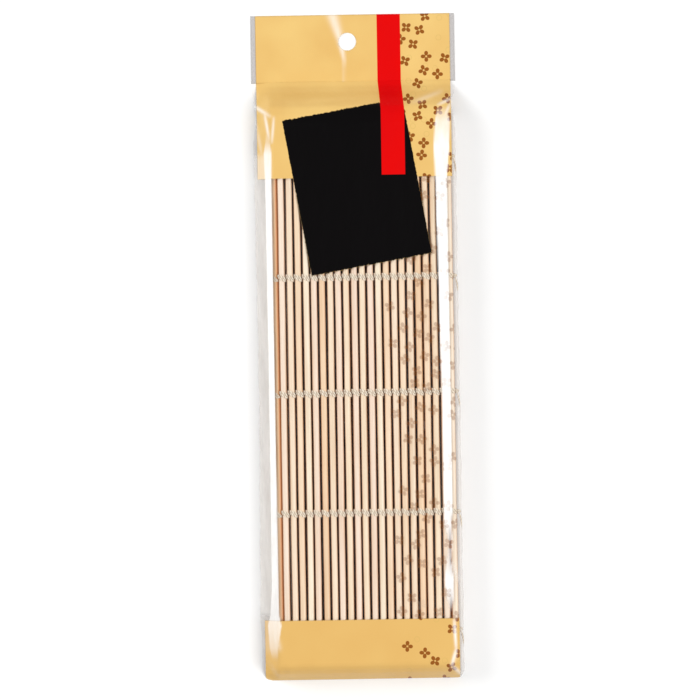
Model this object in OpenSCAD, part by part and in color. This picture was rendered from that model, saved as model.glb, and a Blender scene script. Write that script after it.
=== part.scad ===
// Bamboo rolling mat in its clear bag: round slats held side by side by rows of cotton
// string and folded in three like a fan. The slats lie along Y and the bag lies on Z = 0.

/* [Slats] */
// Length of one slat
slat_len = 270; // [180:1:330]
// Diameter of one slat
slat_d = 3; // [2.6:0.1:3.1]
// Distance from one slat to the next
pitch = 4; // [3.9:0.05:4.6]
// Slats in the top third of the mat, the bottom and middle thirds having one less
third = 22; // [8:2:24]
/* [Strings] */
// Rows of string
rows = 5; // [2:1:6]
// Distance from one row of string to the next
row_gap = 59; // [40:1:60]
// Thickness of the string where it lies on a slat
string_t = 0.3; // [0.2:0.05:0.3]
// Width of the string where it lies on a slat, along the slat
string_w = 1.2; // [0.8:0.1:1.2]
// How steeply each turn of string slants down across its slat, in degrees
slant = 31; // [30:1:36]
/* [Fold] */
// How far each folded third leans down towards its free side, in degrees
lean = 1.8; // [0:0.1:1.8]
/* [Bag] */
// Room in the bag beside the mat on its left
left_room = 9; // [4:0.5:14]
// Room in the bag beside the mat on its right
right_room = 1; // [1:0.5:14]
// Room in the bag beyond the foot of the slats
foot_room = 8.5; // [5:0.5:15]
// Room beyond the head of the slats, with the header
head_room = 55; // [50:0.5:70]
// Length of the header, where front and back are welded together
header_len = 33; // [28:1:42]
// Diameter of the hang hole
hang_d = 9; // [6:0.5:12]
/* [Hidden] */
$fn = 48;
film_t = 0.2;
header_t = 0.4;
// Height of the lowest string over the ground, which the header slides under
lift = header_t + 0.2;
bag_gap = 0.3;
corner_r = 6;
fold_bulge = 3;
fold_slats = 2;
fold_turn = (180 + lean) / (fold_slats + 1);
slat_r = slat_d / 2;
loop_r = slat_r + string_t;
end_chamfer = 0.3;
strand_r = 0.4;
strand_gap = 0.1;
knot_r = 0.9;
knot_bite = 0.3;
// How far the folded mat reaches left and right of the middle of its top third
reach_left = third * pitch / 2 + fold_bulge;
reach_right = (third - 1) * pitch / 2 + loop_r + 2 * knot_r - knot_bite;
bag_w = reach_left + reach_right + left_room + right_room;
bag_len = slat_len + foot_room + head_room;
// Middle of the top third, in a frame that has the bag's middle at its origin
mat_x = (reach_left + left_room - reach_right - right_room) / 2;
mat_y = (foot_room - head_room) / 2;
// Middle of the hang hole, a little left of the bag's middle
hang_x = -2.65;
hang_y = bag_len / 2 - 13.5;
pair = 2;
pairs = third / pair;
lower = third - 1;
// Number of the first slat in each stretch, counted from the lowest free edge
right_fold = lower;
middle = right_fold + fold_slats;
left_fold = middle + lower;
top = left_fold + fold_slats;
total = top + third;

// Turn between slat i and the one before it, in degrees, upwards being positive
function turn(i) =
    i > right_fold - 1 && i <= middle ? fold_turn :
    i > left_fold - 1 && i <= top ? -fold_turn : 0;
// Each slat is [x, z, heading], found from the one before it through the hinge between them
function along(p, heading, d) = [p[0] + d * cos(heading), p[1] + d * sin(heading)];
function next(s, i) = let (
    hinge = along([s[0], s[1]], s[2], pitch / 2),
    heading = s[2] + turn(i),
    centre = along(hinge, heading, pitch / 2)) [centre[0], centre[1], heading];
first_slat = [mat_x - (third - 1) * pitch / 2, lift + loop_r, 0];
places = [for (i = 0, s = first_slat; i < total; i = i + 1, s = next(s, i)) s];
stack_top = max([for (s = places) s[1]]) + loop_r;

// How far a turn of string runs along the slat, above and below its row, at the slat's two sides
rise = loop_r * tan(slant);
function row_y(r) = (r - (rows - 1) / 2) * row_gap;

// Stands a shape at slat i, with its own X pointing to the next slat
module at_slat(i) {
    translate([places[i][0], mat_y, places[i][1]]) rotate([0, -places[i][2], 0]) children();
}

// A round slat with softened cut ends, along Y
module slat() {
    rotate([90, 0, 0]) union() {
        cylinder(r = slat_r, h = slat_len - 2 * end_chamfer, center = true);
        for (m = [0, 1]) mirror([0, 0, m]) translate([0, 0, slat_len / 2 - end_chamfer])
            cylinder(r1 = slat_r, r2 = slat_r - end_chamfer, h = end_chamfer);
    }
}

module slats(from, count) {
    color("burlywood") for (i = [from : from + count - 1]) at_slat(i) slat();
}

// One turn of string round a slat, slanting from its upper left to its lower right
module loop() {
    intersection() {
        rotate([90, 0, 0]) difference() {
            cylinder(r = loop_r, h = 6 * string_w, center = true);
            cylinder(r = slat_r, h = 7 * string_w, center = true);
        }
        rotate([0, 0, -slant]) cube([4 * loop_r, string_w * cos(slant), 3 * loop_r], center = true);
    }
}

// The strand that crosses the gap after a slat, lying on the line that the mat bends about
module crossing(to_y) {
    from_y = -rise - string_w / 4;
    translate([pitch / 2, from_y, 0]) rotate([-90, 0, 0])
        cylinder(r = strand_r, h = to_y - from_y, $fn = 24);
}

// String round slats that bend against each other: one loop and one crossing for each slat and row
module free_loops(from, count) {
    color("ivory") for (i = [from : from + count - 1], r = [0 : rows - 1])
        at_slat(i) translate([0, row_y(r), 0]) union() {
            loop();
            if (i < total - 1) crossing(-strand_gap);
        }
}

// String through a third that stays flat: one unbroken run for each row
module string_runs(from, count) {
    last = from + count - 1;
    color("ivory") for (r = [0 : rows - 1]) union() {
        for (i = [from : last]) at_slat(i) translate([0, row_y(r), 0]) {
            loop();
            crossing(i < last ? rise + string_w / 4 : -strand_gap);
        }
    }
}

// The knots that close each row of string at the upper free edge
module knots() {
    color("ivory") for (r = [0 : rows - 1]) at_slat(total - 1)
        translate([loop_r + knot_r - knot_bite, row_y(r) - rise, 0]) sphere(r = knot_r, $fn = 32);
}

// Outline of the bag's body, with round corners at its foot, shrunk by inset on every side
module bag_outline(inset = 0) {
    r = corner_r - inset;
    half = bag_w / 2 - inset;
    foot = inset - bag_len / 2;
    head = bag_len / 2 - header_len - inset;
    translate([-half, foot + r]) square([2 * half, head - foot - r]);
    translate([r - half, foot]) square([2 * (half - r), r]);
    for (m = [0, 1]) mirror([m, 0]) translate([half - r, foot + r]) circle(r = r);
}

// Back of the bag, which the mat lies on
module bag_back() {
    color([0.9, 0.9, 0.88, 0.5]) linear_extrude(film_t) bag_outline();
}

// The room round the mat from the height base up, shrunk by inset on every side
module bag_room(base, inset) {
    thin = 0.1;
    high = stack_top + bag_gap + film_t - inset;
    left = reach_left + 1 - inset;
    right = reach_right + 0.6 - inset;
    end = slat_len / 2 + 1 - inset;
    hull() {
        translate([0, 0, base]) linear_extrude(thin) bag_outline(inset);
        translate([mat_x - left, mat_y - end, high - thin]) cube([left + right, 2 * end, thin]);
    }
}

// Front of the bag, a thin shell over the mat, open below
module bag_front() {
    color([0.95, 0.95, 0.93, 0.3]) difference() {
        bag_room(film_t, 0);
        bag_room(-film_t, film_t);
    }
}

// Header of the bag, stiff and flat, with its hang hole
module bag_header() {
    color([0.92, 0.78, 0.48]) linear_extrude(header_t) difference() {
        translate([-bag_w / 2, bag_len / 2 - header_len]) square([bag_w, header_len]);
        translate([hang_x, hang_y]) circle(d = hang_d);
    }
}

function two_digits(n) = str(n < 10 ? "0" : "", n);

bag_back();
bag_front();
bag_header();
slats(0, lower);  // bottom_slats
string_runs(0, lower);  // bottom_strings
for (n = [1 : fold_slats]) {
    slats(right_fold + n - 1, 1);
    free_loops(right_fold + n - 1, 1);
    slats(left_fold + n - 1, 1);
    free_loops(left_fold + n - 1, 1);
}
slats(middle, lower);  // middle_slats
string_runs(middle, lower);  // middle_strings
for (n = [1 : pairs]) {
    slats(top + pair * (n - 1), pair);
    free_loops(top + pair * (n - 1), pair);
}
knots();  // top_knots
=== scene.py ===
import math

import bpy
import numpy as np
from mathutils import Matrix, Vector
from mathutils.geometry import delaunay_2d_cdt


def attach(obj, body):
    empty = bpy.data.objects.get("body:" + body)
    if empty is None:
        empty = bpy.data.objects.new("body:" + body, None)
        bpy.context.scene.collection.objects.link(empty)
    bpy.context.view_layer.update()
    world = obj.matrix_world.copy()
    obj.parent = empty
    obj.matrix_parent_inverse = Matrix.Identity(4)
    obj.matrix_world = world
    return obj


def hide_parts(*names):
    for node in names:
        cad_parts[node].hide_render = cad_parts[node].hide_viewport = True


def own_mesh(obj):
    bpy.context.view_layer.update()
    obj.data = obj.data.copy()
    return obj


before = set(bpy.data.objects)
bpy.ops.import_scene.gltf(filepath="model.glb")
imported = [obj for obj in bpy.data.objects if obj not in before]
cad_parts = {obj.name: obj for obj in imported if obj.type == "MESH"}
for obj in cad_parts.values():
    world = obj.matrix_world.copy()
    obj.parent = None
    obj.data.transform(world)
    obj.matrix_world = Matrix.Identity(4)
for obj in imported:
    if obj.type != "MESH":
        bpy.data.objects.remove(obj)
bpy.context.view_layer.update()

# Sizes in millimetres, as the solids have them
MM = 0.001
SLAT_LEN = 270
SLAT_R = 1.5
PITCH = 4
THIRD = 22
LOWER_THIRD = 21
FOLD_SLATS = 2
PAIR = 2
LEAN = 1.8
ROWS = 5
ROW_GAP = 59
LOOP_R = 1.8
# Middle of the top third, in a frame that has the middle of the bag at its origin
MAT_X = 4.85
MAT_Y = -23.25
LIFT = 0.6
BAG_W = 102.3
BAG_LEN = 333.5
HEADER_LEN = 33
HANG_HOLE = (-2.65, 153.25)
HANG_R = 4.5

# The photograph's frame: its scale, and where the middle of the mat stands in it
PHOTO_SIZE = 700
PHOTO_MM_PER_PX = 0.502
PHOTO_MAT_CENTRE = (368, 393)
PHOTO_LEAN = 0.95
CAMERA_HEIGHT = 4.0
SENSOR_MM = 36


# Where each slat stands in the folded stack

def slat_places():
    """[x, z, heading in degrees] of every slat, found from the one before through the hinge between them."""
    right_fold = LOWER_THIRD
    middle = right_fold + FOLD_SLATS
    left_fold = middle + LOWER_THIRD
    top = left_fold + FOLD_SLATS
    fold_turn = (180 + LEAN) / (FOLD_SLATS + 1)
    x, z, heading = MAT_X - (THIRD - 1) * PITCH / 2, LIFT + LOOP_R, 0.0
    places = [(x, z, heading)]
    for i in range(1, top + THIRD):
        hinge = (x + PITCH / 2 * math.cos(math.radians(heading)), z + PITCH / 2 * math.sin(math.radians(heading)))
        if right_fold <= i <= middle:
            heading += fold_turn
        elif left_fold <= i <= top:
            heading -= fold_turn
        x = hinge[0] + PITCH / 2 * math.cos(math.radians(heading))
        z = hinge[1] + PITCH / 2 * math.sin(math.radians(heading))
        places.append((x, z, heading))
    return places


def stretches():
    """(body, node of its slats, node of its string, numbers of its slats) for each body of the mat."""
    found = [("bottom_third", "bottom_slats", "bottom_strings", range(0, LOWER_THIRD))]
    start = LOWER_THIRD
    for side in ("right", "left"):
        for n in range(1, FOLD_SLATS + 1):
            fold = f"{side}_fold"
            found.append((f"{fold}_{n}", f"{fold}_slat_{n}", f"{fold}_loops_{n}", range(start, start + 1)))
            start += 1
        if side == "right":
            found.append(("middle_third", "middle_slats", "middle_strings", range(start, start + LOWER_THIRD)))
            start += LOWER_THIRD
    for n in range(1, THIRD // PAIR + 1):
        found.append((f"top_pair_{n:02d}", f"top_slats_{n:02d}", f"top_loops_{n:02d}", range(start, start + PAIR)))
        start += PAIR
    return found


PLACES = slat_places()
TOTAL = len(PLACES)


def row_y(row):
    return MAT_Y + (row - (ROWS - 1) / 2) * ROW_GAP


# Node trees

def add(tree, kind, inputs=None, **settings):
    """A new node, its settings made and its inputs set or linked."""
    made = tree.nodes.new(kind)
    for name, value in settings.items():
        setattr(made, name, value)
    for name, value in (inputs or {}).items():
        socket = made.inputs[name]
        if isinstance(value, bpy.types.NodeSocket):
            tree.links.new(value, socket)
        else:
            socket.default_value = value
    return made


def new_group(name, kind, inputs, outputs):
    """A node group with its named sockets, as (tree, input node, output node)."""
    tree = bpy.data.node_groups.new(name, kind)
    for socket, socket_type in inputs:
        tree.interface.new_socket(socket, in_out="INPUT", socket_type=socket_type)
    for socket, socket_type in outputs:
        tree.interface.new_socket(socket, in_out="OUTPUT", socket_type=socket_type)
    return tree, tree.nodes.new("NodeGroupInput"), tree.nodes.new("NodeGroupOutput")


def math_node(tree, operation, a, b=0.0):
    made = add(tree, "ShaderNodeMath", {0: a, 1: b}, operation=operation)
    return made.outputs[0]


def vector_node(tree, operation, a, b=(0, 0, 0)):
    made = add(tree, "ShaderNodeVectorMath", {0: a, 1: b}, operation=operation)
    return made.outputs[0]


def remap(tree, value, from_low, from_high, to_low=0.0, to_high=1.0):
    made = add(tree, "ShaderNodeMapRange", {0: value, 1: from_low, 2: from_high, 3: to_low, 4: to_high})
    return made.outputs[0]


def noise(tree, vector, scale, detail=2.0, rough=0.5):
    made = add(tree, "ShaderNodeTexNoise", {"Vector": vector, "Scale": scale, "Detail": detail, "Roughness": rough})
    return made.outputs[0]


def ramp(tree, value, stops):
    """A colour ramp of (place, colour) stops."""
    made = add(tree, "ShaderNodeValToRGB", {0: value})
    elements = made.color_ramp.elements
    while len(elements) < len(stops):
        elements.new(0.5)
    for element, (place, colour) in zip(elements, stops):
        element.position = place
        element.color = (*colour, 1)
    return made.outputs[0]


def mix_colour(tree, factor, a, b, blend="MIX"):
    made = add(tree, "ShaderNodeMix", {0: factor, 6: a, 7: b}, data_type="RGBA", blend_type=blend)
    return made.outputs[2]


def new_material(name):
    """A material with its default nodes, as (material, tree, shader), the shader being its Principled shader."""
    made = bpy.data.materials.new(name)
    made.use_nodes = True
    tree = made.node_tree
    return made, tree, tree.nodes["Principled BSDF"]


# Materials

BAMBOO_TONES = [
    (0.0, (0.62, 0.37, 0.17)),
    (0.2, (0.76, 0.50, 0.28)),
    (0.4, (0.83, 0.62, 0.43)),
    (0.6, (0.83, 0.69, 0.51)),
    (0.8, (0.83, 0.67, 0.56)),
    (1.0, (0.86, 0.77, 0.61)),
]


def bamboo_grain_and_gap_shade():
    """Long fibres, darker flecks and dotted cut ends, from each slat's tone and its own coordinates, and painted
    reddish-brown shade on the flanks of each slat, where the gaps between slats fall dark.
    """
    tree, given, result = new_group(
        "bamboo_grain_and_gap_shade",
        "ShaderNodeTree",
        [("Tone", "NodeSocketFloat"), ("Seed", "NodeSocketFloat"), ("Cut", "NodeSocketFloat"), ("Along", "NodeSocketVector")],
        [("Colour", "NodeSocketColor"), ("Height", "NodeSocketFloat"), ("Roughness", "NodeSocketFloat")],
    )
    parts = add(tree, "ShaderNodeSeparateXYZ", {0: given.outputs["Along"]})
    around, along = parts.outputs[0], parts.outputs[1]
    shifted = math_node(tree, "ADD", along, math_node(tree, "MULTIPLY", given.outputs["Seed"], 3.7))

    def fibres(across, lengthwise):
        place = add(
            tree,
            "ShaderNodeCombineXYZ",
            {0: math_node(tree, "MULTIPLY", around, across), 1: math_node(tree, "MULTIPLY", shifted, lengthwise), 2: given.outputs["Seed"]},
        )
        return noise(tree, place.outputs[0], 1.0, 3.0, 0.6)

    fine = fibres(46, 60)
    broad = fibres(9, 22)
    patches = fibres(2.5, 9)
    flecks = remap(tree, fibres(34, 150), 0.66, 0.74)
    base = ramp(tree, given.outputs["Tone"], BAMBOO_TONES)
    light = mix_colour(tree, remap(tree, broad, 0.35, 0.7, 0.0, 0.34), base, (0.84, 0.73, 0.58, 1))
    warm = mix_colour(tree, remap(tree, patches, 0.45, 0.72, 0.0, 0.45), light, (0.60, 0.36, 0.18, 1))
    lined = mix_colour(tree, remap(tree, fine, 0.3, 0.75, 0.0, 0.36), warm, (0.47, 0.29, 0.15, 1))
    flecked = mix_colour(tree, math_node(tree, "MULTIPLY", flecks, 0.45), lined, (0.30, 0.16, 0.07, 1))
    dots = add(tree, "ShaderNodeTexVoronoi", {"Vector": add(tree, "ShaderNodeTexCoord").outputs["Object"], "Scale": 2600.0})
    pores = remap(tree, dots.outputs["Distance"], 0.12, 0.42, 1.0, 0.0)
    ends = mix_colour(tree, pores, (0.62, 0.46, 0.27, 1), (0.23, 0.13, 0.06, 1))
    # Painted shade: the flanks of each slat, towards the dark gaps between slats, are coloured deep reddish brown.
    side = math_node(tree, "ABSOLUTE", math_node(tree, "COSINE", math_node(tree, "MULTIPLY", around, 2 * math.pi)))
    flank_gap_shade = mix_colour(tree, remap(tree, side, 0.82, 0.97, 0.0, 0.9), flecked, (0.60, 0.24, 0.075, 1))
    colour = mix_colour(tree, given.outputs["Cut"], flank_gap_shade, ends)
    tree.links.new(colour, result.inputs["Colour"])
    height = math_node(tree, "SUBTRACT", math_node(tree, "MULTIPLY", fine, 0.7), math_node(tree, "MULTIPLY", flecks, 0.3))
    tree.links.new(height, result.inputs["Height"])
    tree.links.new(remap(tree, broad, 0.3, 0.7, 0.36, 0.56), result.inputs["Roughness"])
    return tree


def make_bamboo():
    material, tree, shader = new_material("bamboo")
    grain = add(tree, "ShaderNodeGroup", node_tree=bamboo_grain_and_gap_shade())
    for socket, attribute in (("Tone", "tone"), ("Seed", "number"), ("Cut", "cut")):
        read = add(tree, "ShaderNodeAttribute", attribute_name=attribute)
        tree.links.new(read.outputs["Fac"], grain.inputs[socket])
    tree.links.new(add(tree, "ShaderNodeUVMap", uv_map="grain").outputs[0], grain.inputs["Along"])
    bump = add(tree, "ShaderNodeBump", {"Strength": 0.25, "Distance": 0.0001, "Height": grain.outputs["Height"]})
    tree.links.new(grain.outputs["Colour"], shader.inputs["Base Color"])
    tree.links.new(grain.outputs["Roughness"], shader.inputs["Roughness"])
    tree.links.new(bump.outputs[0], shader.inputs["Normal"])
    shader.inputs["Coat Weight"].default_value = 0.12
    shader.inputs["Coat Roughness"].default_value = 0.35
    return material


def twisted_cotton():
    """The two plies and the loose fibres of a cotton string, with painted shade in the grooves between the plies, from
    coordinates round and along it.
    """
    tree, given, result = new_group(
        "twisted_cotton",
        "ShaderNodeTree",
        [("Along", "NodeSocketVector"), ("Tone", "NodeSocketFloat")],
        [("Colour", "NodeSocketColor"), ("Height", "NodeSocketFloat")],
    )
    parts = add(tree, "ShaderNodeSeparateXYZ", {0: given.outputs["Along"]})
    turned = math_node(tree, "SUBTRACT", math_node(tree, "MULTIPLY", parts.outputs[0], 2.0), parts.outputs[1])
    wave = math_node(tree, "SINE", math_node(tree, "MULTIPLY", turned, 2 * math.pi))
    plies = remap(tree, wave, -1.0, 0.2)
    place = add(
        tree,
        "ShaderNodeCombineXYZ",
        {0: math_node(tree, "MULTIPLY", turned, 7.0), 1: math_node(tree, "MULTIPLY", parts.outputs[1], 2.0), 2: given.outputs["Tone"]},
    )
    fibres = noise(tree, place.outputs[0], 1.6, 3.0, 0.65)
    # Painted shade: the grooves between the plies are coloured dark brown.
    ply_groove_shade = mix_colour(tree, plies, (0.27, 0.16, 0.08, 1), (0.78, 0.69, 0.56, 1))
    fuzz = mix_colour(tree, remap(tree, fibres, 0.35, 0.7, 0.0, 0.4), ply_groove_shade, (0.86, 0.78, 0.66, 1))
    toned = mix_colour(tree, remap(tree, given.outputs["Tone"], 0.0, 1.0, 0.0, 0.3), fuzz, (0.66, 0.56, 0.44, 1))
    tree.links.new(toned, result.inputs["Colour"])
    tree.links.new(math_node(tree, "ADD", plies, math_node(tree, "MULTIPLY", fibres, 0.6)), result.inputs["Height"])
    return tree


def make_cotton():
    material, tree, shader = new_material("cotton_string")
    twist = add(tree, "ShaderNodeGroup", node_tree=twisted_cotton())
    tree.links.new(add(tree, "ShaderNodeUVMap", uv_map="grain").outputs[0], twist.inputs["Along"])
    tree.links.new(add(tree, "ShaderNodeAttribute", attribute_name="tone").outputs["Fac"], twist.inputs["Tone"])
    bump = add(tree, "ShaderNodeBump", {"Strength": 0.5, "Distance": 0.0001, "Height": twist.outputs["Height"]})
    tree.links.new(twist.outputs["Colour"], shader.inputs["Base Color"])
    tree.links.new(bump.outputs[0], shader.inputs["Normal"])
    shader.inputs["Roughness"].default_value = 0.9
    shader.inputs["Specular IOR Level"].default_value = 0.25
    shader.inputs["Sheen Weight"].default_value = 0.25
    return material


GOLD = (0.745, 0.50, 0.172, 1)
DEEP_GOLD = (0.65, 0.385, 0.115, 1)
INK_BROWN = (0.27, 0.085, 0.012, 1)
RIBBON_RED = (0.68, 0.001, 0.001, 1)
LABEL_BLACK = (0.002, 0.0015, 0.0017, 1)
# The film's own white, also used as the colour of its painted highlights and painted light.
FILM_AND_PAINTED_LIGHT_WHITE = (0.96, 0.94, 0.915, 1)
WELD_GREY = (0.50, 0.47, 0.46, 1)

# Where the prints lie on the bag, in millimetres
HEADER_PRINT_END = 84.75
FOOT_PRINT_END = -136.5
PRINT_HALF_WIDTH = 48.7
RIBBON = (12.2, 23.95)
RIBBON_END = 85.9
RIBBON_SHIFT = 1.3
LABEL_CENTRE = (1.0, 80.0)
LABEL_HALF = (30.6, 39.5)
LABEL_TURN = 9.9
MOTIF_CELL = 8.2
MOTIF_R = 2.75
MOTIF_ON_CLEAR = 0.3
MOTIF_START = 14.0
MOTIF_ROWS_TURN = 24


def within(tree, value, low, high, soft=0.12):
    """A mask that is 1 where value lies between low and high."""
    rise = remap(tree, value, low - soft, low + soft)
    return math_node(tree, "MULTIPLY", rise, remap(tree, value, high + soft, high - soft))


def cells(tree, x, y, size, spread, shift):
    """Scattered places, one in each cell: (local x, local y, distance in millimetres, random colour)."""
    place = add(
        tree,
        "ShaderNodeCombineXYZ",
        {0: math_node(tree, "ADD", math_node(tree, "DIVIDE", x, size), shift), 1: math_node(tree, "DIVIDE", y, size), 2: 0.0},
    ).outputs[0]
    scattered = add(tree, "ShaderNodeTexVoronoi", {"Vector": place, "Scale": 1.0, "Randomness": spread}, voronoi_dimensions="2D")
    local = add(tree, "ShaderNodeSeparateXYZ", {0: vector_node(tree, "SUBTRACT", place, scattered.outputs["Position"])})
    distance = math_node(tree, "MULTIPLY", scattered.outputs["Distance"], size)
    return local.outputs[0], local.outputs[1], distance, scattered.outputs["Color"]


def rosettes(tree, x, y):
    """Small four-petalled rosettes scattered over the right of the bag."""
    along, across = math.cos(math.radians(MOTIF_ROWS_TURN)), math.sin(math.radians(MOTIF_ROWS_TURN))
    turned_x = math_node(tree, "SUBTRACT", math_node(tree, "MULTIPLY", x, along), math_node(tree, "MULTIPLY", y, across))
    turned_y = math_node(tree, "ADD", math_node(tree, "MULTIPLY", x, across), math_node(tree, "MULTIPLY", y, along))
    local_x, local_y, distance, chance = cells(tree, turned_x, turned_y, MOTIF_CELL, 0.45, 0.35)
    chances = add(tree, "ShaderNodeSeparateColor", {0: chance})
    angle = math_node(tree, "ARCTAN2", local_y, local_x)
    turned = math_node(tree, "MULTIPLY", math_node(tree, "ADD", angle, math_node(tree, "MULTIPLY", chances.outputs[2], 3.0)), 2.0)
    petal = math_node(tree, "POWER", math_node(tree, "ABSOLUTE", math_node(tree, "COSINE", turned)), 0.7)
    reach = math_node(tree, "MULTIPLY", math_node(tree, "ADD", math_node(tree, "MULTIPLY", petal, 0.8), 0.2), MOTIF_R)
    inside = remap(tree, math_node(tree, "SUBTRACT", distance, reach), 0.15, -0.15)
    eye = remap(tree, distance, 0.35, 0.6)
    shown = remap(tree, chances.outputs[0], 0.2, 0.22)
    start = math_node(tree, "ADD", MOTIF_START, math_node(tree, "MULTIPLY", chances.outputs[1], 9.0))
    off_x = math_node(tree, "ADD", math_node(tree, "MULTIPLY", local_x, along * MOTIF_CELL), math_node(tree, "MULTIPLY", local_y, across * MOTIF_CELL))
    centre_x = math_node(tree, "SUBTRACT", x, off_x)
    placed = remap(tree, math_node(tree, "SUBTRACT", centre_x, start), 0.0, 0.1)
    mask = math_node(tree, "MULTIPLY", inside, eye)
    return math_node(tree, "MULTIPLY", math_node(tree, "MULTIPLY", mask, shown), placed)


def rings(tree, x, y):
    """Faint thin rings between the rosettes."""
    _, _, distance, chance = cells(tree, x, y, 7.0, 0.9, 4.6)
    shown = remap(tree, add(tree, "ShaderNodeSeparateColor", {0: chance}).outputs[0], 0.45, 0.47)
    band = within(tree, distance, 1.15, 1.45, 0.1)
    right = remap(tree, x, MOTIF_START + 8, MOTIF_START + 8.2)
    return math_node(tree, "MULTIPLY", math_node(tree, "MULTIPLY", band, shown), right)


def bag_print():
    """The bare printed bands, label and ribbon of the bag, by place. Front is 1 on its front and header, 0 on its back."""
    tree, given, result = new_group(
        "bag_print",
        "ShaderNodeTree",
        [("Front", "NodeSocketFloat")],
        [("Colour", "NodeSocketColor"), ("Cover", "NodeSocketFloat"), ("Satin", "NodeSocketFloat")],
    )
    place = vector_node(tree, "SCALE", add(tree, "ShaderNodeTexCoord").outputs["Object"])
    place.node.inputs["Scale"].default_value = 1 / MM
    parts = add(tree, "ShaderNodeSeparateXYZ", {0: place})
    x, y = parts.outputs[0], parts.outputs[1]
    front = given.outputs["Front"]

    bands = math_node(tree, "MAXIMUM", remap(tree, y, HEADER_PRINT_END - 0.2, HEADER_PRINT_END + 0.2), remap(tree, y, FOOT_PRINT_END + 0.2, FOOT_PRINT_END - 0.2))
    gold = math_node(tree, "MULTIPLY", bands, within(tree, x, -PRINT_HALF_WIDTH, PRINT_HALF_WIDTH, 0.2))
    cloud = noise(tree, place, 0.045, 2.0, 0.4)
    tone = mix_colour(tree, remap(tree, cloud, 0.3, 0.7, 0.0, 0.55), GOLD, DEEP_GOLD)
    low = mix_colour(tree, remap(tree, y, 20.0, -120.0, 0.0, 0.6), tone, DEEP_GOLD)
    ringed = mix_colour(tree, math_node(tree, "MULTIPLY", rings(tree, x, y), 0.35), low, (0.50, 0.36, 0.10, 1))
    sown = math_node(tree, "MULTIPLY", rosettes(tree, x, y), remap(tree, x, PRINT_HALF_WIDTH, PRINT_HALF_WIDTH - 0.3))
    motif = math_node(tree, "MULTIPLY", sown, front)
    inked = mix_colour(tree, motif, ringed, INK_BROWN)

    turn = math.radians(LABEL_TURN)
    from_x = math_node(tree, "SUBTRACT", x, LABEL_CENTRE[0])
    from_y = math_node(tree, "SUBTRACT", y, LABEL_CENTRE[1])
    across = math_node(tree, "ADD", math_node(tree, "MULTIPLY", from_x, math.cos(turn)), math_node(tree, "MULTIPLY", from_y, math.sin(turn)))
    up = math_node(tree, "SUBTRACT", math_node(tree, "MULTIPLY", from_y, math.cos(turn)), math_node(tree, "MULTIPLY", from_x, math.sin(turn)))
    torn = math_node(tree, "MULTIPLY", math_node(tree, "SUBTRACT", noise(tree, place, 0.75, 4.0, 0.75), 0.5), 2.2)
    fine = math_node(tree, "MULTIPLY", torn, 0.45)
    label = math_node(
        tree,
        "MULTIPLY",
        within(tree, math_node(tree, "ADD", across, fine), -LABEL_HALF[0], LABEL_HALF[0]),
        within(tree, math_node(tree, "ADD", up, torn), -LABEL_HALF[1], LABEL_HALF[1]),
    )
    label = math_node(tree, "MULTIPLY", label, front)
    labelled = mix_colour(tree, label, inked, LABEL_BLACK)

    kinked = math_node(tree, "SUBTRACT", x, remap(tree, y, 133.0, 119.0, 0.0, RIBBON_SHIFT))
    ribbon = math_node(tree, "MULTIPLY", within(tree, kinked, *RIBBON), remap(tree, y, RIBBON_END - 0.1, RIBBON_END + 0.1))
    ribbon = math_node(tree, "MULTIPLY", ribbon, front)
    shaded_red = mix_colour(tree, remap(tree, cloud, 0.35, 0.65, 0.0, 0.5), RIBBON_RED, (0.60, 0.001, 0.003, 1))
    coloured = mix_colour(tree, ribbon, labelled, shaded_red)

    cover = math_node(tree, "MAXIMUM", gold, math_node(tree, "MULTIPLY", motif, MOTIF_ON_CLEAR))
    cover = math_node(tree, "MAXIMUM", math_node(tree, "MAXIMUM", cover, label), ribbon)
    tree.links.new(coloured, result.inputs["Colour"])
    tree.links.new(cover, result.inputs["Cover"])
    tree.links.new(math_node(tree, "MAXIMUM", label, ribbon), result.inputs["Satin"])
    return tree


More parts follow.
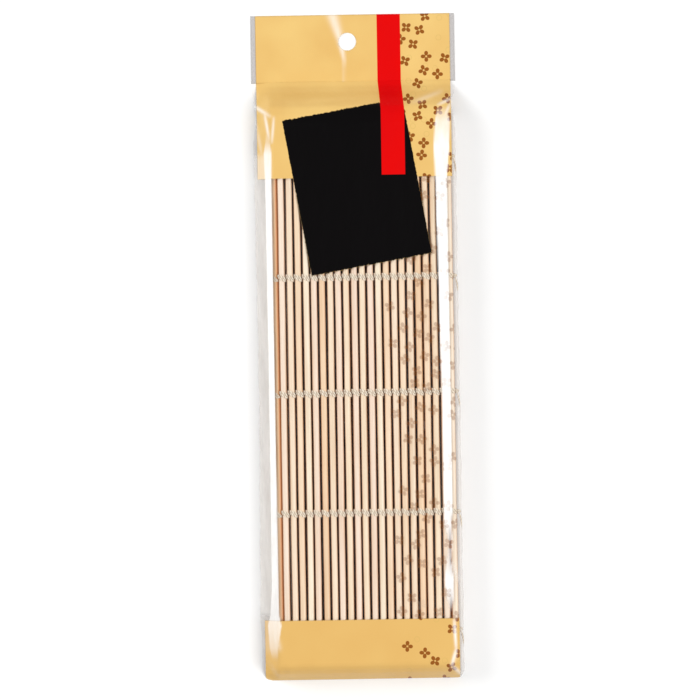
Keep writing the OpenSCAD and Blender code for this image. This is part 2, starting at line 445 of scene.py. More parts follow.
def make_film(name, print_group, front, clear_colour, clear_alpha, roughness):
    """Clear film with its print. The mesh's haze attribute whitens it with painted highlights along its creases and
    where it is turned to the light, painted light on its shaded left slope and margin, and a whitening at its welds.
    """
    material, tree, shader = new_material(name)
    printed = add(tree, "ShaderNodeGroup", {"Front": front}, node_tree=print_group)
    colour, cover = printed.outputs["Colour"], printed.outputs["Cover"]
    place = add(tree, "ShaderNodeTexCoord").outputs["Object"]
    stretched = vector_node(tree, "MULTIPLY", place, (300.0, 85.0, 300.0))
    broken = remap(tree, noise(tree, stretched, 1.0, 3.0, 0.6), 0.28, 0.62, 0.82, 1.0)
    haze = add(tree, "ShaderNodeAttribute", attribute_name="haze").outputs["Fac"]
    painted_light_veil = add(tree, "ShaderNodeMath", {0: haze, 1: broken}, operation="MULTIPLY", use_clamp=True).outputs[0]
    facing = add(tree, "ShaderNodeLayerWeight", {"Blend": 0.3}).outputs["Facing"]
    edge = math_node(tree, "MULTIPLY", math_node(tree, "POWER", facing, 3.0), 0.55)
    clear = math_node(tree, "ADD", edge, clear_alpha)
    on_film = mix_colour(tree, remap(tree, cover, 0.0, 0.2), clear_colour, colour)
    # Painted highlights and painted light: the film's whitening is mixed in as near-white colour and makes the film
    # less clear there.
    shown = mix_colour(tree, math_node(tree, "MULTIPLY", painted_light_veil, 0.92), on_film, FILM_AND_PAINTED_LIGHT_WHITE)
    alpha = math_node(tree, "MAXIMUM", math_node(tree, "MAXIMUM", cover, painted_light_veil), clear)
    tree.links.new(shown, shader.inputs["Base Color"])
    tree.links.new(add(tree, "ShaderNodeMath", {0: alpha, 1: 1.0}, operation="MINIMUM").outputs[0], shader.inputs["Alpha"])
    ripples = math_node(tree, "ADD", noise(tree, vector_node(tree, "MULTIPLY", place, (90.0, 40.0, 90.0)), 1.0, 3.0, 0.55), math_node(tree, "MULTIPLY", painted_light_veil, 0.3))
    bump = add(tree, "ShaderNodeBump", {"Strength": 0.35, "Distance": 0.0012, "Height": ripples})
    tree.links.new(bump.outputs[0], shader.inputs["Normal"])
    rough = remap(tree, printed.outputs["Satin"], 0.0, 1.0, roughness, 0.42)
    tree.links.new(rough, shader.inputs["Roughness"])
    tree.links.new(remap(tree, printed.outputs["Satin"], 0.0, 1.0, 0.07, 0.0), shader.inputs["Coat Weight"])
    shader.inputs["Coat Roughness"].default_value = 0.12
    shader.inputs["Specular IOR Level"].default_value = 0.05
    return material


def make_floor_material():
    material, tree, shader = new_material("pale_floor")
    place = add(tree, "ShaderNodeTexCoord").outputs["Object"]
    tint = mix_colour(tree, noise(tree, place, 3.0), (0.86, 0.86, 0.86, 1), (0.88, 0.88, 0.875, 1))
    tree.links.new(tint, shader.inputs["Base Color"])
    shader.inputs["Roughness"].default_value = 0.8
    return material


# Meshes

class Shape:
    """Vertices in millimetres, faces, and values kept on vertices and on face corners."""

    def __init__(self):
        self.points, self.faces, self.uvs, self.cut = [], [], [], []

    def ring(self, points, cut=0.0):
        start = len(self.points)
        self.points.extend(tuple(p) for p in points)
        self.cut.extend([cut] * len(points))
        return start

    def bridge(self, a, b, sides, v_a, v_b):
        """A band of faces from ring a to ring b, outward where the rings turn anticlockwise seen from b."""
        for k in range(sides):
            j = (k + 1) % sides
            self.faces.append((a + k, a + j, b + j, b + k))
            u0, u1 = k / sides, (k + 1) / sides
            self.uvs.append(((u0, v_a), (u1, v_a), (u1, v_b), (u0, v_b)))

    def cap(self, ring, sides, v, last):
        order = range(sides) if last else range(sides - 1, -1, -1)
        self.faces.append(tuple(ring + k for k in order))
        self.uvs.append(tuple((k / sides, v) for k in order))

    def mesh(self, name):
        made = bpy.data.meshes.new(name)
        made.from_pydata([tuple(c * MM for c in p) for p in self.points], [], self.faces)
        made.polygons.foreach_set("use_smooth", [True] * len(self.faces))
        layer = made.uv_layers.new(name="grain")
        layer.data.foreach_set("uv", [c for face in self.uvs for uv in face for c in uv])
        cut = made.attributes.new("cut", "FLOAT", "POINT")
        cut.data.foreach_set("value", self.cut)
        made.validate()
        return made


SLAT_SIDES = 20
SLAT_RINGS = 46
END_ROUND = 0.35
CORNER_POWER = 2.3


def slat_shape():
    """One slat along Y: a stick that is a little squarer than round, with softened cut ends."""
    shape = Shape()

    def section(y, scale, cut=0.0):
        points = []
        for k in range(SLAT_SIDES):
            a = 2 * math.pi * k / SLAT_SIDES
            c, s = math.cos(a), math.sin(a)
            r = SLAT_R * scale / (abs(c) ** CORNER_POWER + abs(s) ** CORNER_POWER) ** (1 / CORNER_POWER)
            points.append((r * c, y, -r * s))
        return shape.ring(points, cut)

    half = SLAT_LEN / 2
    stations = [(-half, 0.82, 1.0), (-half, 0.86, 1.0), (-half + END_ROUND * 0.4, 0.96, 0.2)]
    for k in range(SLAT_RINGS + 1):
        stations.append((-half + END_ROUND + (SLAT_LEN - 2 * END_ROUND) * k / SLAT_RINGS, 1.0, 0.0))
    stations += [(half - END_ROUND * 0.4, 0.96, 0.2), (half, 0.86, 1.0), (half, 0.82, 1.0)]
    rings = [section(*s) for s in stations]
    for (a, sa), (b, sb) in zip(zip(rings, stations), list(zip(rings, stations))[1:]):
        shape.bridge(a, b, SLAT_SIDES, sa[0] * MM, sb[0] * MM)
    shape.cap(rings[0], SLAT_SIDES, 0, False)
    shape.cap(rings[-1], SLAT_SIDES, 0, True)
    return shape


STRAND_SIDES = 10
PLY_TURN = 1.7
PLY_DEPTH = 0.12


def sweep(shape, path, across, widths, thicknesses):
    """A twisted strand along path. across[k] is the direction of its thickness at point k."""
    path = [Vector(p) for p in path]
    run = 0.0
    rings, runs = [], []
    last = len(path) - 1
    for k, p in enumerate(path):
        ahead = (path[min(k + 1, last)] - path[max(k - 1, 0)]).normalized()
        if k:
            run += (p - path[k - 1]).length
        out = (Vector(across[k]) - ahead * ahead.dot(Vector(across[k]))).normalized()
        side = ahead.cross(out)
        phase = 2 * math.pi * run / PLY_TURN
        points = []
        for j in range(STRAND_SIDES):
            a = 2 * math.pi * j / STRAND_SIDES
            r = 1 - PLY_DEPTH + PLY_DEPTH * math.cos(2 * a - phase)
            points.append(p + out * (thicknesses[k] * r * math.cos(a)) + side * (widths[k] * r * math.sin(a)))
        rings.append(shape.ring(points))
        runs.append(run / PLY_TURN)
    for k in range(last):
        shape.bridge(rings[k], rings[k + 1], STRAND_SIDES, runs[k], runs[k + 1])
    shape.cap(rings[0], STRAND_SIDES, 0, False)
    shape.cap(rings[-1], STRAND_SIDES, runs[-1], True)


STRAND_W = 0.7
STRAND_T = 0.165
STRAND_GAP_T = 0.24
STRAND_RISE = 1.25
STRAND_NARROWING = 0.66
WRAP_STEPS = 14
DOME = 0.2


def wrap_strand(shape, over, offset, closed_left=False, closed_right=False):
    """One strand from the gap on a slat's left to the gap on its right, over the slat or under it."""
    way = 1 if over else -1
    hug = SLAT_R + STRAND_T
    path, across, widths, thicknesses = [], [], [], []
    for k in range(WRAP_STEPS + 1):
        t = -1 + 2 * k / WRAP_STEPS
        a = t * math.pi / 2
        closed = closed_left if t < 0 else closed_right
        reach = hug if closed else PITCH / 2
        rise = 0 if closed else STRAND_RISE
        width = 1 - STRAND_NARROWING * abs(math.sin(a)) ** 5
        y = -way * rise * (0.55 * t + 0.45 * math.sin(a)) + offset * width
        path.append((reach * math.sin(a), y, way * hug * math.cos(a)))
        across.append((math.sin(a), 0, way * math.cos(a)))
        fill = 0 if closed else math.sin(a) ** 4
        widths.append(STRAND_W * width)
        thicknesses.append(STRAND_T + (STRAND_GAP_T - STRAND_T) * fill)
    first, last = path[0], path[-1]
    down = (0, 0, -way * DOME)
    for place, index in ((first, 0), (last, len(path))):
        tip = tuple(a + b for a, b in zip(place, down))
        path.insert(index, tip)
        across.insert(index, across[0] if index == 0 else across[-1])
        widths.insert(index, STRAND_W * 0.4)
        thicknesses.insert(index, STRAND_GAP_T * 0.5)
    sweep(shape, path, across, widths, thicknesses)


def wrap_shape(closed_left=False, closed_right=False):
    """The four strands round one slat at one row: a pair over it and a pair under it."""
    shape = Shape()
    for over in (True, False):
        for offset in (-STRAND_W, STRAND_W):
            wrap_strand(shape, over, offset, closed_left, closed_right)
    return shape


KNOT_R = 0.86
KNOT_STRAND = 0.36
TAIL_LEN = 7


def knot_shape():
    """An overhand knot with its two short tails, centred on the origin, its tails hanging towards -Y."""
    shape = Shape()
    steps = 72
    turn = [2 * math.pi * k / steps for k in range(steps + 1)]
    middle = KNOT_R * 0.62
    path = [
        (
            (middle + 0.4 * math.cos(3 * a)) * math.cos(2 * a),
            (middle + 0.4 * math.cos(3 * a)) * math.sin(2 * a),
            0.55 * math.sin(3 * a),
        )
        for a in turn
    ]
    sweep(shape, path, [(0, 0, 1)] * len(path), [KNOT_STRAND] * len(path), [KNOT_STRAND] * len(path))
    for side in (-1, 1):
        tail = []
        for k in range(13):
            t = k / 12
            tail.append((0.3 + 0.9 * math.sin(t * 2.2) + side * 0.45 * t, -0.6 - TAIL_LEN * t, -0.2 - 2.4 * t * t + side * 0.3))
        widths = [KNOT_STRAND * (1 - 0.25 * (k / 12) ** 4) for k in range(13)]
        sweep(shape, tail, [(0, 0, 1)] * len(tail), widths, widths)
    return shape


# Repeating a shape along the mat

def point_cloud(name, rows):
    """One vertex for each (place, heading, tone, number), which the repeating nodes read."""
    made = bpy.data.meshes.new(name)
    made.from_pydata([tuple(c * MM for c in row[0]) for row in rows], [], [])
    turn = made.attributes.new("turn", "FLOAT_VECTOR", "POINT")
    turn.data.foreach_set("vector", [c for row in rows for c in (0, -math.radians(row[1]), 0)])
    for key, column in (("tone", 2), ("number", 3)):
        values = made.attributes.new(key, "FLOAT", "POINT")
        values.data.foreach_set("value", [row[column] for row in rows])
    return made


def repeat_tree(name, prototype, material, bow, swell, lengthwise):
    """Geometry nodes that set the prototype on every point, bend each one a little its own way and give it its material."""
    socket = [("Geometry", "NodeSocketGeometry")]
    tree, given, result = new_group(name, "GeometryNodeTree", socket, socket)
    shape = add(tree, "GeometryNodeObjectInfo", {"Object": prototype})
    turn = add(tree, "GeometryNodeInputNamedAttribute", {"Name": "turn"}, data_type="FLOAT_VECTOR")
    copies = add(
        tree,
        "GeometryNodeInstanceOnPoints",
        {"Points": given.outputs[0], "Instance": shape.outputs["Geometry"], "Rotation": turn.outputs[0]},
    )
    solid = add(tree, "GeometryNodeRealizeInstances", {"Geometry": copies.outputs[0]})
    number = add(tree, "GeometryNodeInputNamedAttribute", {"Name": "number"}, data_type="FLOAT")
    place = add(tree, "ShaderNodeSeparateXYZ", {0: add(tree, "GeometryNodeInputPosition").outputs[0]})
    own = math_node(tree, "MULTIPLY", number.outputs[0], 7.31)

    def wander(frequency, shift):
        along = math_node(tree, "MULTIPLY", place.outputs[1], frequency)
        at = add(tree, "ShaderNodeCombineXYZ", {0: own, 1: along, 2: shift})
        drift = add(tree, "ShaderNodeTexNoise", {"Vector": at.outputs[0], "Scale": 1.0, "Detail": 1.0})
        return drift.outputs[1]

    centred = vector_node(tree, "SUBTRACT", wander(lengthwise, 0.0), (0.5, 0.5, 0.5))
    bent = vector_node(tree, "MULTIPLY", centred, (bow * MM, 0, bow * MM * 0.5))
    grown = math_node(tree, "SUBTRACT", add(tree, "ShaderNodeSeparateXYZ", {0: wander(lengthwise * 5, 9.0)}).outputs[0], 0.5)
    outward = add(tree, "ShaderNodeVectorMath", {0: add(tree, "GeometryNodeInputNormal").outputs[0]}, operation="SCALE")
    tree.links.new(math_node(tree, "MULTIPLY", grown, swell * MM), outward.inputs["Scale"])
    moved = add(
        tree,
        "GeometryNodeSetPosition",
        {"Geometry": solid.outputs[0], "Offset": vector_node(tree, "ADD", bent, outward.outputs[0])},
    )
    finished = add(tree, "GeometryNodeSetMaterial", {"Geometry": moved.outputs[0], "Material": material})
    tree.links.new(finished.outputs[0], result.inputs[0])
    return tree


def show(name, mesh):
    made = bpy.data.objects.new(name, mesh)
    bpy.context.scene.collection.objects.link(made)
    return made


def repeated(name, tree, rows):
    """The plain mesh object that the repeating nodes make of those rows."""
    seeds = show(name + "_points", point_cloud(name + "_points", rows))
    seeds.modifiers.new("repeat", "NODES").node_group = tree
    graph = bpy.context.evaluated_depsgraph_get()
    mesh = bpy.data.meshes.new_from_object(seeds.evaluated_get(graph), preserve_all_data_layers=True, depsgraph=graph)
    bpy.data.objects.remove(seeds)
    mesh.name = name
    return show(name, mesh)


def joined(name, pieces):
    """Several mesh objects as one of that name."""
    if len(pieces) > 1:
        with bpy.context.temp_override(active_object=pieces[0], selected_editable_objects=pieces):
            bpy.ops.object.join()
    pieces[0].name = name
    return pieces[0]


def prototype(name, shape):
    return show(name, shape.mesh(name))


# The mat

bamboo = make_bamboo()
cotton = make_cotton()
random = np.random.default_rng(7)
TONES = np.clip(random.normal(0.62, 0.27, TOTAL), 0, 1)
STRING_TONES = random.random((TOTAL, ROWS))
# How far each slat has slipped sideways in its string, less in the top third
SLACK = random.uniform(-1, 1, TOTAL) * np.where(np.arange(TOTAL) < TOTAL - THIRD, 0.5, 0.12)
# How far each turn of string has slipped along its slat
DRIFT = np.clip(np.cumsum(random.normal(0, 0.17, (TOTAL, ROWS)), axis=0), -0.8, 0.8)

slat_model = prototype("slat_model", slat_shape())
wrap_models = {
    "inner": prototype("wrap_model", wrap_shape()),
    "first": prototype("first_wrap_model", wrap_shape(closed_left=True)),
    "last": prototype("last_wrap_model", wrap_shape(closed_right=True)),
}
knot_model = prototype("knot_model", knot_shape())
slat_tree = repeat_tree("slats_along_mat", slat_model, bamboo, 0.5, 0.12, 14.0)
wrap_trees = {key: repeat_tree(f"{key}_wraps", model, cotton, 0.12, 0.1, 400.0) for key, model in wrap_models.items()}
knot_tree = repeat_tree("knots_along_edge", knot_model, cotton, 0.3, 0.1, 200.0)


def slat_row(i):
    x, z, heading = PLACES[i]
    turn = math.radians(heading)
    return ((x + SLACK[i] * math.cos(turn), MAT_Y, z + SLACK[i] * math.sin(turn)), heading, TONES[i], i)


def wrap_row(i, row):
    y = row_y(row) + DRIFT[i, row]
    return ((PLACES[i][0], y, PLACES[i][1]), PLACES[i][2], STRING_TONES[i, row], i * ROWS + row)


def finish_piece(piece, body, node):
    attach(piece, body)
    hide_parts(node)


for body, slat_node, string_node, numbers in stretches():
    slats = repeated("bamboo_" + slat_node, slat_tree, [slat_row(i) for i in numbers])
    finish_piece(slats, body, slat_node)
    kinds = {"first": [0], "last": [TOTAL - 1]}
    kinds["inner"] = [i for i in numbers if i not in (0, TOTAL - 1)]
    wraps = []
    for key, tree in wrap_trees.items():
        rows = [wrap_row(i, row) for i in kinds[key] if i in numbers for row in range(ROWS)]
        if rows:
            wraps.append(repeated(f"cotton_{string_node}_{key}", tree, rows))
    finish_piece(joined("cotton_" + string_node, wraps), body, string_node)

KNOT_OUT = LOOP_R + KNOT_R - 0.3
knot_x, knot_z = PLACES[-1][0] + KNOT_OUT, PLACES[-1][1]
knot_rows = [
    ((knot_x, row_y(row) + DRIFT[-1, row], knot_z), 0, STRING_TONES[0, row], row) for row in range(ROWS)
]
knots = repeated("cotton_top_knots", knot_tree, knot_rows)
finish_piece(knots, stretches()[-1][0], "top_knots")

for model in (slat_model, knot_model, *wrap_models.values()):
    bpy.data.objects.remove(model)


# The bag

FILM_TOP = 15.72
FILM_CEILING = 15.95
FILM_LOW = 0.08
FILM_END = 133.3
CORNER_R = 6
# Half widths of the filled bag, measured along it: (y, left edge) and (y, right edge)
LEFT_EDGE = [
    (-166.75, -50.6), (-159.8, -50.5), (-150, -50.5), (-137.2, -50.9), (-90, -50.4), (-36.8, -49.8), (20, -50.0),
    (83.7, -50.4), (98.7, -50.9), (106, -50.2), (114.8, -49.1), (121, -49.8), (127, -50.9), (134, -51.15), (167, -51.15),
]
RIGHT_EDGE = [
    (-166.75, 51.15), (-159.8, 51.0), (-150, 50.8), (-137.2, 51.15), (-117.1, 50.9), (-36.8, 51.0), (43.5, 50.9),
    (73.6, 50.9), (105, 50.8), (117, 49.6), (122.3, 48.6), (127, 50.6), (133, 51.15), (167, 51.15),
]
# The filled bag's section: shares of its left slope and heights, then places over the mat and down its right side
LEFT_SLOPE = [(0.0, 0.08), (0.05, 0.5), (0.2, 2.3), (0.42, 5.4), (0.66, 8.9), (0.86, 11.9), (1.0, 13.7)]
SLOPE_TOP = -42.5
LEFT_BEND = [(-41.6, 14.7), (-40.2, 15.35), (-38.0, 15.68)]
RIGHT_BEND = [(40.0, 15.85), (43.0, 15.85), (45.5, 15.7), (47.6, 15.3), (49.2, 14.4), (50.3, 12.8)]
RIGHT_WALL = [(0.25, 10.0), (0.1, 7.0), (0.0, 4.0), (0.0, 1.5), (0.0, 0.08)]
# How far the section has sunk towards the ends of the bag
RISE = [
    (-166.75, 0.0), (-166.2, 0.1), (-165.0, 0.34), (-163.2, 0.66), (-161.2, 0.88), (-159.6, 0.97), (-158.0, 1.0), (112.5, 1.0),
    (116.5, 0.96), (120.5, 0.84), (124.5, 0.55), (128.0, 0.27), (131.0, 0.09), (133.3, 0.02),
]
PUCKER = 0.22
ALONG_STEPS = 250
ACROSS_STEPS = 96
# Creases in the film: from, to, width, height and the strength of the painted highlight along them
CREASES = [
    ((-51.3, 122.6), (-42.3, 116.2), 0.9, 0.9, 0.7),
    ((-44.7, 117.8), (-42.5, 104.4), 0.7, 0.8, 0.75),
    ((-40.0, 115.3), (-41.2, 102.8), 0.6, 0.6, 0.7),
    ((-51.3, 121.0), (-48.7, 110.0), 0.7, 0.7, 0.6),
    ((-48.7, 110.0), (-46.5, 97.0), 0.9, -0.5, 0.3),
    ((49.6, 124.0), (42.4, 120.7), 0.8, 0.8, 0.6),
    ((48.3, 120.9), (44.6, 113.1), 0.9, 0.8, 0.6),
    ((-46.0, 0.0), (-49.0, -8.0), 0.8, 0.4, 0.4),
    ((-48.5, 6.0), (-45.0, -2.0), 0.7, -0.4, 0.35),
    ((45.5, -108.0), (48.4, -118.0), 0.8, 0.4, 0.5),
    ((-49.5, -152.0), (-41.0, -164.0), 1.3, 0.9, 0.0),
    ((-50.0, -157.0), (-43.0, -165.0), 0.9, -0.8, 0.0),
    ((-46.5, -137.0), (-42.0, -150.0), 1.6, 0.5, 0.7),
    ((46.0, -137.0), (46.8, -152.0), 0.7, 0.4, 0.95),
    ((46.8, -152.0), (44.5, -160.0), 0.8, 0.4, 0.9),
    ((44.5, -160.0), (49.5, -165.0), 0.9, 0.5, 0.6),
    ((-30.0, 121.5), (8.0, 124.5), 1.4, -0.3, 0.0),
    ((-12.0, 127.0), (-7.0, 117.0), 1.2, 0.35, 0.0),
    ((30.0, 122.0), (44.0, 127.5), 1.2, 0.5, 0.25),
]
# Bands of glare along the bag: (y, x from, x to, strength)
RIGHT_GLARE = [
    (-133, 43.5, 45.2, 0.0), (-126, 42.6, 46.0, 0.75), (-117, 41.7, 46.3, 1.0),
    (-108, 42.6, 44.9, 0.55), (-99, 43.9, 46.2, 0.3), (-90, 42.1, 45.4, 0.9), (-80, 42.0, 46.3, 1.0), (-37, 42.0, 46.3, 1.0), (40, 41.0, 46.0, 1.0),
    (83, 40.3, 45.9, 1.0), (100, 39.8, 47.5, 1.0), (112, 40.5, 48.0, 0.75), (120, 42.0, 46.0, 0.0),
]
LEFT_GLARE = [
    (-156, -45.4, -42.4, 0.0), (-150, -46.5, -42.2, 0.5), (-139, -47.3, -40.4, 0.75), (-134, -46.0, -41.4, 0.8),
    (-120, -45.0, -41.6, 0.9), (-37, -44.8, -41.8, 1.0), (83, -45.0, -41.8, 1.0), (97, -45.5, -41.6, 0.9), (103, -44.5, -42.2, 0.3), (110, -44.0, -42.5, 0.0),
]


def table(rows, at, column=1):
    """Values at places along the bag, read between the rows of a table."""
    rows = sorted(rows)
    return np.interp(at, [r[0] for r in rows], [r[column] for r in rows])


def bag_edges(y):
    """The left and right edges of the bag at y, with small waves and its rounded foot corners."""
    wave = 0.14 * np.sin(y * 0.21 + 1.0) + 0.1 * np.sin(y * 0.47) + 0.06 * np.sin(y * 1.13 + 2.0)
    calm = np.clip((128 - y) / 10, 0, 1)
    left = table(LEFT_EDGE, y) + wave * calm
    right = np.minimum(table(RIGHT_EDGE, y) + wave[::-1] * calm, BAG_W / 2)
    depth = np.clip((CORNER_R - BAG_LEN / 2 - y) / CORNER_R, 0, 1)
    cut = CORNER_R * (1 - np.sqrt(1 - depth**2))
    return left + cut * 0.9, right - cut * 0.55


def section_points(left, right):
    """The filled bag's cross-section between two edges, as (x, z) in millimetres."""
    points = [(left + (SLOPE_TOP - left) * t, z) for t, z in LEFT_SLOPE]
    points += LEFT_BEND
    points += [(x, FILM_TOP) for x in np.linspace(-34, 37, 14)]
    points += RIGHT_BEND
    points += [(right - d, z) for d, z in RIGHT_WALL]
    return np.array(points)


def film_grid():
    """Points of the front film as an array [along, across, xyz]."""
    y = np.concatenate([np.linspace(-BAG_LEN / 2, -157, 22)[:-1], np.linspace(-157, 100, ALONG_STEPS - 62)[:-1], np.linspace(100, FILM_END, 41)])
    left, right = bag_edges(y)
    rise = table(RISE, y)
    grid = np.zeros((len(y), ACROSS_STEPS, 3))
    for k in range(len(y)):
        points = section_points(min(left[k], SLOPE_TOP - 1), max(right[k], 47.0))
        run = np.concatenate([[0], np.cumsum(np.hypot(*np.diff(points, axis=0).T))])
        # Points gather where the section bends
        weight = np.interp(np.linspace(0, run[-1], 400), run, np.where((points[:, 0] > -37) & (points[:, 0] < 39), 0.55, 2.2))
        spread = np.concatenate([[0], np.cumsum((weight[1:] + weight[:-1]) / 2)])
        at = np.interp(np.linspace(0, spread[-1], ACROSS_STEPS), spread, np.linspace(0, run[-1], 400))
        grid[k, :, 0] = np.interp(at, run, points[:, 0])
        grid[k, :, 2] = FILM_LOW + (np.interp(at, run, points[:, 1]) - FILM_LOW) * rise[k]
        # The end corners draw in
        grid[k, :, 0] = np.clip(grid[k, :, 0], left[k], right[k])
        grid[k, :, 1] = y[k]
    return grid


def creased(x, y):
    """How high the creases make the film at (x, y), and how strong the painted highlights along them are."""
    height, white = np.zeros_like(x), np.zeros_like(x)
    for (x0, y0), (x1, y1), width, raised, highlight_strength in CREASES:
        length2 = (x1 - x0) ** 2 + (y1 - y0) ** 2
        t = np.clip(((x - x0) * (x1 - x0) + (y - y0) * (y1 - y0)) / length2, 0, 1)
        near = np.hypot(x - x0 - t * (x1 - x0), y - y0 - t * (y1 - y0))
        shape = np.exp(-((near / width) ** 2)) * np.sin(np.pi * np.clip(0.08 + 0.84 * t, 0, 1)) ** 0.6
        height += raised * shape
        white = np.maximum(white, highlight_strength * shape)
    return height, white


def glare(rows, x, y):
    low, high, strength = (table(rows, y, column) for column in (1, 2, 3))
    soft = 0.45
    inside = np.clip((x - low) / soft + 0.5, 0, 1) * np.clip((high - x) / soft + 0.5, 0, 1)
    return inside * strength


def undulation(x, y):
    """Slow rises and dips of loose film."""
    return (
        0.5 * np.sin(x * 0.145 + 0.6 * np.sin(y * 0.031))
        + 0.35 * np.sin(x * 0.31 + 1.3 + 0.9 * np.sin(y * 0.023 + 1.0))
        + 0.3 * np.sin(y * 0.083 + 0.05 * x)
        + 0.2 * np.sin(y * 0.21 + x * 0.11)
    )


def grid_mesh(name, grid, haze):
    """A sheet through a grid of points in millimetres, with its whiteness kept on the vertices."""
    rows, columns, _ = grid.shape
    faces = []
    for i in range(rows - 1):
        for j in range(columns - 1):
            a = i * columns + j
            faces.append((a, a + 1, a + columns + 1, a + columns))
    made = bpy.data.meshes.new(name)
    made.from_pydata((grid.reshape(-1, 3) * MM).tolist(), [], faces)
    made.polygons.foreach_set("use_smooth", [True] * len(faces))
    made.attributes.new("haze", "FLOAT", "POINT").data.foreach_set("value", haze.reshape(-1).tolist())
    return made


def front_film():
    grid = film_grid()
    x, y, z = grid[..., 0], grid[..., 1], grid[..., 2]
    height, white = creased(x, y)
    free = np.clip(z / 4, 0, 1)
    over_mat = (np.abs(x - 2) < 40) & (y > -157) & (y < 111)
    loose = np.where(over_mat, 0.07, 0.22)
    z += free * (undulation(x, y) * loose + np.where(over_mat, np.abs(height) * 0.5, height))
    ends = np.clip((-157 - y) / 3, 0, 1) * np.clip((y + 166.7) / 2, 0, 1) + 0.6 * np.clip((y - 113) / 5, 0, 1) * np.clip((132 - y) / 5, 0, 1)
    z += ends * PUCKER * (np.sin(x * 0.83 + 1.2 * np.sin(x * 0.17)) + 0.6 * np.sin(x * 0.37 + 2.0))
    z[...] = FILM_CEILING - 0.1 * np.logaddexp(0, (FILM_CEILING - z) / 0.1)
    # Painted light: the film's left slope, which faces away from the key lamp, is whitened; the right wall and the
    # lowest edge of the film are whitened too.
    slope = np.clip((SLOPE_TOP + 1 - x) / 3, 0, 1) * np.clip((99 - y) / 4, 0, 1) * np.clip((y + 138) / 6, 0.35, 1) * np.clip((y + 155) / 5, 0, 1)
    painted_light_veil = 0.42 * slope + 0.04 * slope * np.sin(y * 0.12 + x * 0.8)
    right_side = np.clip((x - 48.6) / 1.2, 0, 1) * np.clip((118 - y) / 4, 0, 1) * 0.5
    edge = np.clip(1 - z / 1.2, 0, 1) * np.where(y < 128, 0.12, 0)
    # The film's whitening: painted highlights along its creases and in the bands of glare, and the painted light above.
    haze = np.maximum.reduce([white, glare(RIGHT_GLARE, x, y), glare(LEFT_GLARE, x, y), painted_light_veil, right_side, edge])
    return grid_mesh("film_bag_front", grid, haze)


def back_film():
    y = np.linspace(-BAG_LEN / 2, FILM_END, 130)
    left, right = bag_edges(y)
    share = np.linspace(0, 1, 24)
    x = left[:, None] + (right - left)[:, None] * share[None, :]
    grid = np.stack([x, np.broadcast_to(y[:, None], x.shape), np.full(x.shape, 0.04)], axis=-1)
    # Painted light: the back film's left margin, which lies in the mat's shadow, is whitened.
    haze = np.where(grid[..., 0] < -42, 0.9, 0.04)
    return grid_mesh("film_bag_back", grid[:, ::-1], haze[:, ::-1])


def crease_line(y):
    """Where the header's pale crease runs down past the hang hole."""
    return np.interp(y, [131, 144, 154, 167], [-4.6, -4.4, -6.2, -10.0])


def header_sheet():
    """The stiff header with its hang hole, triangulated round the hole and waved a little."""
    half, low, high = BAG_W / 2, BAG_LEN / 2 - HEADER_LEN - 0.9, BAG_LEN / 2
    step = 1.1
    hole = [(HANG_HOLE[0] + HANG_R * math.cos(a), HANG_HOLE[1] + HANG_R * math.sin(a)) for a in np.linspace(0, 2 * math.pi, 64, endpoint=False)]
    edge = [(x, low) for x in np.arange(-half, half, step)] + [(half, y) for y in np.arange(low, high, step)]
    edge += [(x, high) for x in np.arange(half, -half, -step)] + [(-half, y) for y in np.arange(high, low, -step)]
    inner = [
        (x, y)
        for x in np.arange(-half + step, half - step / 2, step)
        for y in np.arange(low + step, high - step / 2, step)
        if math.hypot(x - HANG_HOLE[0], y - HANG_HOLE[1]) > HANG_R + step * 0.6
    ]
    points = [Vector(p) for p in edge + hole + inner]
    around = [(k, (k + 1) % len(edge)) for k in range(len(edge))]
    ring = [(len(edge) + k, len(edge) + (k + 1) % len(hole)) for k in range(len(hole))]
    flat, _, faces, _, _, _ = delaunay_2d_cdt(points, around + ring, [], 0, 1e-5)
    flat = np.array([tuple(p) for p in flat])

    def kept(face):
        middle = flat[list(face)].mean(axis=0)
        return math.hypot(middle[0] - HANG_HOLE[0], middle[1] - HANG_HOLE[1]) > HANG_R * 0.995

    faces = [tuple(f) for f in faces if kept(f)]
    x, y = flat[:, 0], flat[:, 1]
    from_crease = x - crease_line(y)
    width = np.interp(y, [140, 166], [0.5, 2.6])
    fold = np.exp(-((from_crease / width) ** 2))
    z = 0.17 + 0.03 * np.sin(x * 0.12 + 1) + 0.02 * np.sin(y * 0.2 + x * 0.05) + 0.05 * fold
    top = np.stack([x, y, z + 0.2], axis=-1)
    bottom = np.stack([x, y, np.maximum(z - 0.08, 0.06)], axis=-1)
    count = len(flat)
    walls = [(b, a, a + count, b + count) for a, b in boundary_edges(faces)]
    solid = faces + [tuple(count + k for k in reversed(f)) for f in faces] + walls
    made = bpy.data.meshes.new("film_bag_header")
    made.from_pydata((np.concatenate([top, bottom]) * MM).tolist(), [], solid)
    made.polygons.foreach_set("use_smooth", [True] * (2 * len(faces)) + [False] * len(walls))
    haze = fold * np.interp(y, [131, 143, 150, 166], [0.2, 0.35, 0.65, 0.6])
    made.attributes.new("haze", "FLOAT", "POINT").data.foreach_set("value", np.concatenate([haze, haze]).tolist())
    return made


def boundary_edges(faces):
    """Edges that one face alone has, in that face's direction."""
    directed = {(f[k], f[(k + 1) % len(f)]) for f in faces for k in range(len(f))}
    return [(a, b) for a, b in sorted(directed) if (b, a) not in directed]


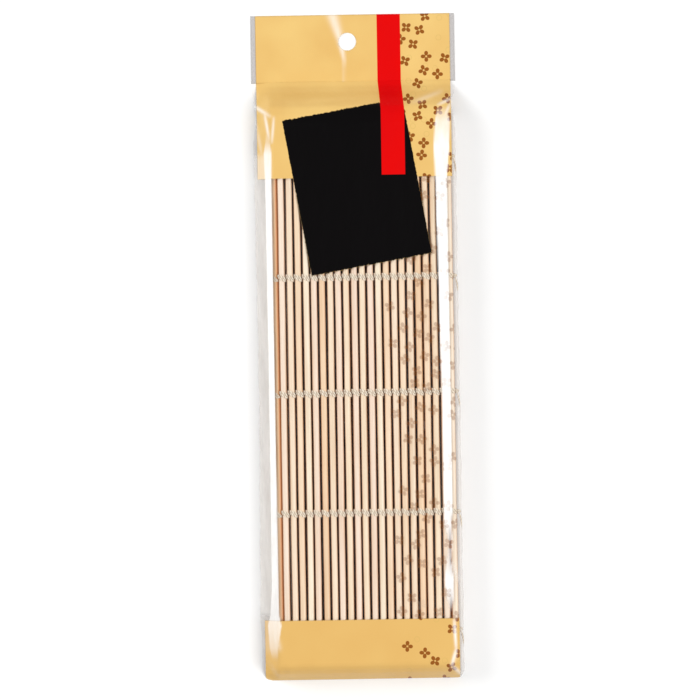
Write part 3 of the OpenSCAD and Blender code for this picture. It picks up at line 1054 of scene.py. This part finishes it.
print_group = bag_print()
clear_front = make_film("printed_clear_film", print_group, 1.0, FILM_AND_PAINTED_LIGHT_WHITE, 0.004, 0.2)
clear_back = make_film("plain_clear_film", print_group, 0.0, FILM_AND_PAINTED_LIGHT_WHITE, 0.02, 0.25)
header_film = make_film("header_film", print_group, 1.0, WELD_GREY, 0.3, 0.24)
for node, mesh, material, material_slot in (
    ("bag_front", front_film(), clear_front, "clear_film"),
    ("bag_back", back_film(), clear_back, "clear_film"),
    ("bag_header", header_sheet(), header_film, "printed_film"),
):
    mesh.materials.append(material)
    mesh.validate()
    film = show("film_" + node, mesh)
    finish_piece(film, "bag", node)
    if node == "bag_front":
        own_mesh(film)


# The floor, lights and camera

def make_floor():
    mesh = bpy.data.meshes.new("floor")
    reach = 6.0
    corners = [(-reach, -reach, 0), (reach, -reach, 0), (reach, reach, 0), (-reach, reach, 0)]
    mesh.from_pydata(corners, [], [(0, 1, 2, 3)])
    mesh.materials.append(make_floor_material())
    show("floor", mesh)


def area_light(name, place, size, power, colour=(1, 1, 1)):
    """A soft square light that points at the middle of the object."""
    data = bpy.data.lights.new(name, "AREA")
    data.size, data.energy, data.color = size, power, colour
    lamp = bpy.data.objects.new(name, data)
    bpy.context.scene.collection.objects.link(lamp)
    lamp.location = place
    lamp.rotation_mode = "QUATERNION"
    lamp.rotation_quaternion = (-Vector(place)).to_track_quat("-Z", "Y")


def make_camera():
    """Looks straight down, turned and shifted so that the mat stands where the photograph has it."""
    lean = math.radians(PHOTO_LEAN)
    right = Vector((math.cos(lean), -math.sin(lean), 0))
    up = Vector((math.sin(lean), math.cos(lean), 0))
    half = PHOTO_SIZE / 2
    across, down = (half - PHOTO_MAT_CENTRE[0]), (PHOTO_MAT_CENTRE[1] - half)
    aim = Vector((MAT_X * MM, MAT_Y * MM, 0)) + (right * across + up * down) * PHOTO_MM_PER_PX * MM
    data = bpy.data.cameras.new("camera")
    data.sensor_width = SENSOR_MM
    data.lens = SENSOR_MM * CAMERA_HEIGHT / (PHOTO_SIZE * PHOTO_MM_PER_PX * MM)
    camera = bpy.data.objects.new("camera", data)
    bpy.context.scene.collection.objects.link(camera)
    rotation = Matrix((right, up, Vector((0, 0, 1)))).transposed().to_4x4()
    camera.matrix_world = Matrix.Translation(aim + Vector((0, 0, CAMERA_HEIGHT))) @ rotation
    bpy.context.scene.camera = camera


def make_world():
    world = bpy.data.worlds.new("studio")
    bpy.context.scene.world = world
    world.use_nodes = True
    background = world.node_tree.nodes["Background"]
    background.inputs["Color"].default_value = (1, 1, 1, 1)
    background.inputs["Strength"].default_value = 0.55


make_floor()
make_world()
area_light("key", (1.5, -0.5, 1.9), 1.1, 38)
area_light("fill", (-1.9, 0.8, 1.2), 1.4, 32)
make_camera()
bpy.context.scene.view_settings.view_transform = "Standard"
